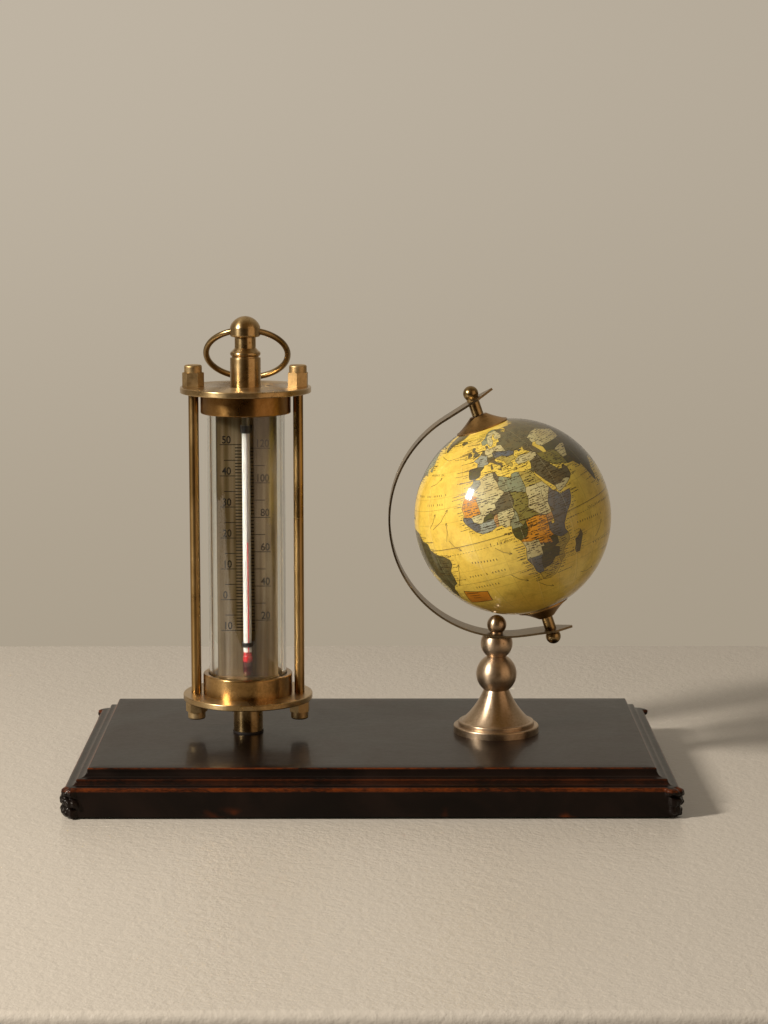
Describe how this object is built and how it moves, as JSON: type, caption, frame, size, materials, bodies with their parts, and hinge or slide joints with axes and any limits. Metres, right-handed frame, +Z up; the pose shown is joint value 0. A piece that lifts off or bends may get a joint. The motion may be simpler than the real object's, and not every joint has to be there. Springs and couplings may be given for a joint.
{
  "type": "globe thermometer desk stand",
  "caption": "Desk stand with a glass-cased thermometer under a carrying ring and a tilted globe in an open arc, on a moulded leather-covered board.",
  "frame": {"origin": "centre of the felt underside, on the desk", "axes": "+X to the right along the board, from the thermometer towards the globe; +Y to the back; +Z up"},
  "size_m": [0.3028, 0.1788, 0.238],
  "materials": {
    "board": "plain wood, hidden under the leather",
    "leather": "dark brown polished leather, worn orange-brown on its edges",
    "felt": "green felt",
    "steel": "plain steel, hidden",
    "dark_fibre": "dark fibre",
    "brass": "old lacquered brass, polished",
    "dull_brass": "old brass, duller and pinkish",
    "dark_brass": "brass with a dark patina",
    "bronze": "dull brown bronze",
    "cork": "cork",
    "clear_glass": "clear, polished",
    "scale_brass": "satin brass with black marks",
    "stem_glass": "clear glass with a white back",
    "spirit": null,
    "black_clip": "blackened strip",
    "globe_map": "varnished printed map"
  },
  "bodies": {
    "stand": {"base_board": "board", "leather_cover": "leather", "felt_base": "felt", "base_nuts": "steel", "base_washers": "steel", "pedestal_stud": "steel", "pedestal_washer": "dark_fibre", "pedestal_spacer": "brass", "lower_plate": "brass", "lower_collar": "brass", "lower_gasket": "cork", "lower_seat": "brass", "glass_tube": "clear_glass", "scale_plate": "scale_brass", "stem_glass": "stem_glass", "spirit_fill": "spirit", "upper_clip": "black_clip", "lower_clip": "black_clip", "upper_seat": "brass", "upper_gasket": "cork", "upper_collar": "dark_brass", "upper_plate": "brass", "tie_rods": "brass", "upper_cap_nuts": "brass", "lower_cap_nuts": "brass", "finial_stud": "steel", "finial_boss": "brass", "finial_head": "brass", "neck_pin": "dark_brass", "globe_foot": "dull_brass", "large_bead": "dull_brass", "small_bead": "dull_brass", "column_stud": "steel", "column_ball_nut": "dull_brass", "meridian_arc": "bronze", "globe_spindle": "steel", "upper_sleeve": "dark_brass", "lower_sleeve": "dark_brass", "upper_spindle_nut": "brass", "lower_spindle_nut": "brass"},
    "globe": {"north_cap": "dark_brass", "south_cap": "dark_brass", "north_half": "globe_map", "south_half": "globe_map"},
    "ring": {"carrying_ring": "brass"}
  },
  "joints": [
    {"name": "globe_spin", "type": "hinge", "parent": "stand", "child": "globe", "pos_m": [0.0719, 0, 0.13543], "axis": [-0.3256, 0, 0.9455], "continuous": true},
    {"name": "ring_swing", "type": "hinge", "parent": "stand", "child": "ring", "pos_m": [-0.0642, 0, 0.2305], "axis": [1, 0, 0], "range_deg": [0, 259.7]}
  ]
}
